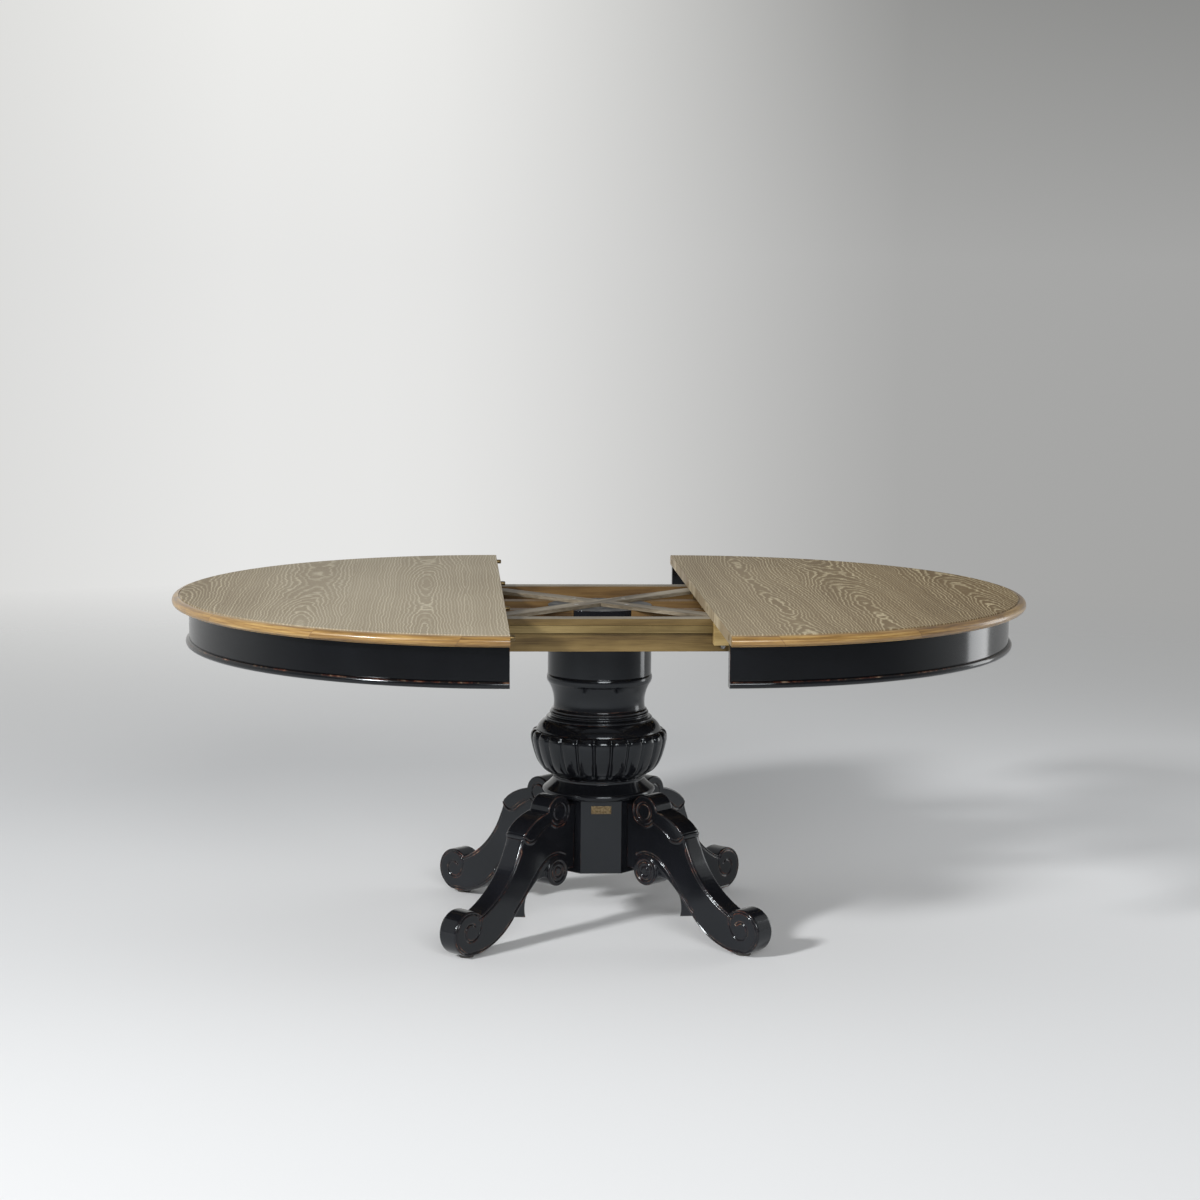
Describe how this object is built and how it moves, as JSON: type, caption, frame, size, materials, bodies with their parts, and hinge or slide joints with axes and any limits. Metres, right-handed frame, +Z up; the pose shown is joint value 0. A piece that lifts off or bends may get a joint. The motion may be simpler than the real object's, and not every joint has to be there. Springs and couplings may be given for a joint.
{
  "type": "extending table",
  "caption": "Round pedestal dining table whose half tops slide apart on wooden runners for a leaf, with a turned gadrooned column and carved scroll legs.",
  "frame": {"origin": "on the floor, on the axis of the pedestal", "axes": "+Z up, +X the way the right half slides out, -Y the front with the plate"},
  "size_m": [1.95, 1.5, 0.78],
  "materials": {
    "ash_veneer": "satin",
    "honey_edge": "satin",
    "black_lacquer": "gloss lacquer",
    "frame_wood": "satin",
    "pale_wood": "satin",
    "brass": "aged",
    "steel": "zinc plated",
    "glide": "matte"
  },
  "bodies": {
    "base": {"back_guide_strip": "pale_wood", "back_left_leg": "black_lacquer", "back_rail": "frame_wood", "back_right_leg": "black_lacquer", "base_ring": "black_lacquer", "blank_plate": "brass", "brace_screws": "steel", "central_block": "black_lacquer", "falling_brace": "frame_wood", "foot_glides": "glide", "frame_screws": "steel", "front_guide_strip": "pale_wood", "front_left_leg": "black_lacquer", "front_rail": "frame_wood", "front_right_leg": "black_lacquer", "gadroon_bowl": "black_lacquer", "left_bearers": "frame_wood", "left_cross_member": "frame_wood", "leg_nuts": "steel", "leg_studs": "steel", "leg_washers": "steel", "neck_and_drum": "black_lacquer", "plate_pins": "brass", "right_bearers": "frame_wood", "right_cross_member": "frame_wood", "rising_brace": "frame_wood", "shoulder": "black_lacquer", "stop_pins": "steel", "tie_rod": "steel", "tie_rod_nuts": "steel", "tie_rod_washers": "steel"},
    "left_top": {"left_apron": "black_lacquer", "left_apron_bead": "black_lacquer", "left_back_runner": "pale_wood", "left_edge_moulding": "honey_edge", "left_front_runner": "pale_wood", "left_glue_blocks": "pale_wood", "left_runner_screws": "steel", "left_top_panel": "ash_veneer", "alignment_pins": "pale_wood", "catch_keepers": "steel"},
    "right_top": {"right_apron": "black_lacquer", "right_apron_bead": "black_lacquer", "right_back_runner": "pale_wood", "right_edge_moulding": "honey_edge", "right_front_runner": "pale_wood", "right_glue_blocks": "pale_wood", "right_runner_screws": "steel", "right_top_panel": "ash_veneer", "pin_bushes": "brass", "catch_pivots": "steel"},
    "front_catch": {"front_catch_lever": "steel"},
    "back_catch": {"back_catch_lever": "steel"}
  },
  "joints": [
    {"name": "left_top_slide", "type": "slide", "parent": "base", "child": "left_top", "axis": [1, 0, 0], "range_m": [0, 0.2248]},
    {"name": "right_top_slide", "type": "slide", "parent": "base", "child": "right_top", "axis": [-1, 0, 0], "range_m": [0, 0.2248]},
    {"name": "front_catch_swing", "type": "hinge", "parent": "right_top", "child": "front_catch", "pos_m": [0.26, -0.48, 0.7514], "axis": [0, 0, 1], "range_deg": [0, 90]},
    {"name": "back_catch_swing", "type": "hinge", "parent": "right_top", "child": "back_catch", "pos_m": [0.26, 0.48, 0.7514], "axis": [0, 0, -1], "range_deg": [0, 90]}
  ]
}
